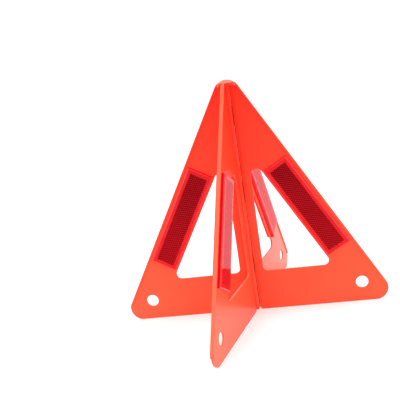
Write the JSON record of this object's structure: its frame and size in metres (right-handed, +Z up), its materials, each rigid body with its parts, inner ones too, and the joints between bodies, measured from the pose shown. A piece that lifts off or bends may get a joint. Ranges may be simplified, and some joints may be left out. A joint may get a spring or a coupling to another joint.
{
  "type": "warning triangle",
  "caption": "Free-standing folding warning triangle: flat triangular leaves hinged on one upright pin, each with a long red reflector on both faces and a hanging hole.",
  "frame": {"origin": "on the axis of the upright hinge pin, in the plane of the leaves' lower edges", "axes": "+X outwards along the right leaf, +Z upwards along the hinge pin, +Y towards the rear"},
  "size_m": [0.2814, 0.275, 0.25],
  "materials": {
    "leaf": "glossy moulded orange-red plastic",
    "lens": "clear red prismatic reflector plastic",
    "backing": "red plastic plate, welded into the back of the lens",
    "pin": "plain bright steel wire"
  },
  "bodies": {
    "right_panel": {"right_leaf": "leaf", "right_lens_front": "lens", "right_backing_front": "backing", "right_lens_rear": "lens", "right_backing_rear": "backing", "hinge_pin": "pin", "apex_cap": "leaf", "hinge_collar": "leaf"},
    "rear_panel": {"rear_leaf": "leaf", "rear_lens_right": "lens", "rear_backing_right": "backing", "rear_lens_left": "lens", "rear_backing_left": "backing"},
    "left_panel": {"left_leaf": "leaf", "left_lens_rear": "lens", "left_backing_rear": "backing", "left_lens_front": "lens", "left_backing_front": "backing"},
    "front_panel": {"front_leaf": "leaf", "front_lens_left": "lens", "front_backing_left": "backing", "front_lens_right": "lens", "front_backing_right": "backing"}
  },
  "joints": [
    {"name": "front_fold", "type": "hinge", "parent": "right_panel", "child": "front_panel", "pos_m": [0, 0, 0.12], "axis": [0, 0, 1], "range_deg": [-9, 83]},
    {"name": "rear_fold", "type": "hinge", "parent": "right_panel", "child": "rear_panel", "pos_m": [0, 0, 0.12], "axis": [0, 0, 1], "range_deg": [-57, 35]},
    {"name": "left_fold", "type": "hinge", "parent": "rear_panel", "child": "left_panel", "pos_m": [0, 0, 0.12], "axis": [0, 0, 1], "range_deg": [-83, 9]}
  ]
}
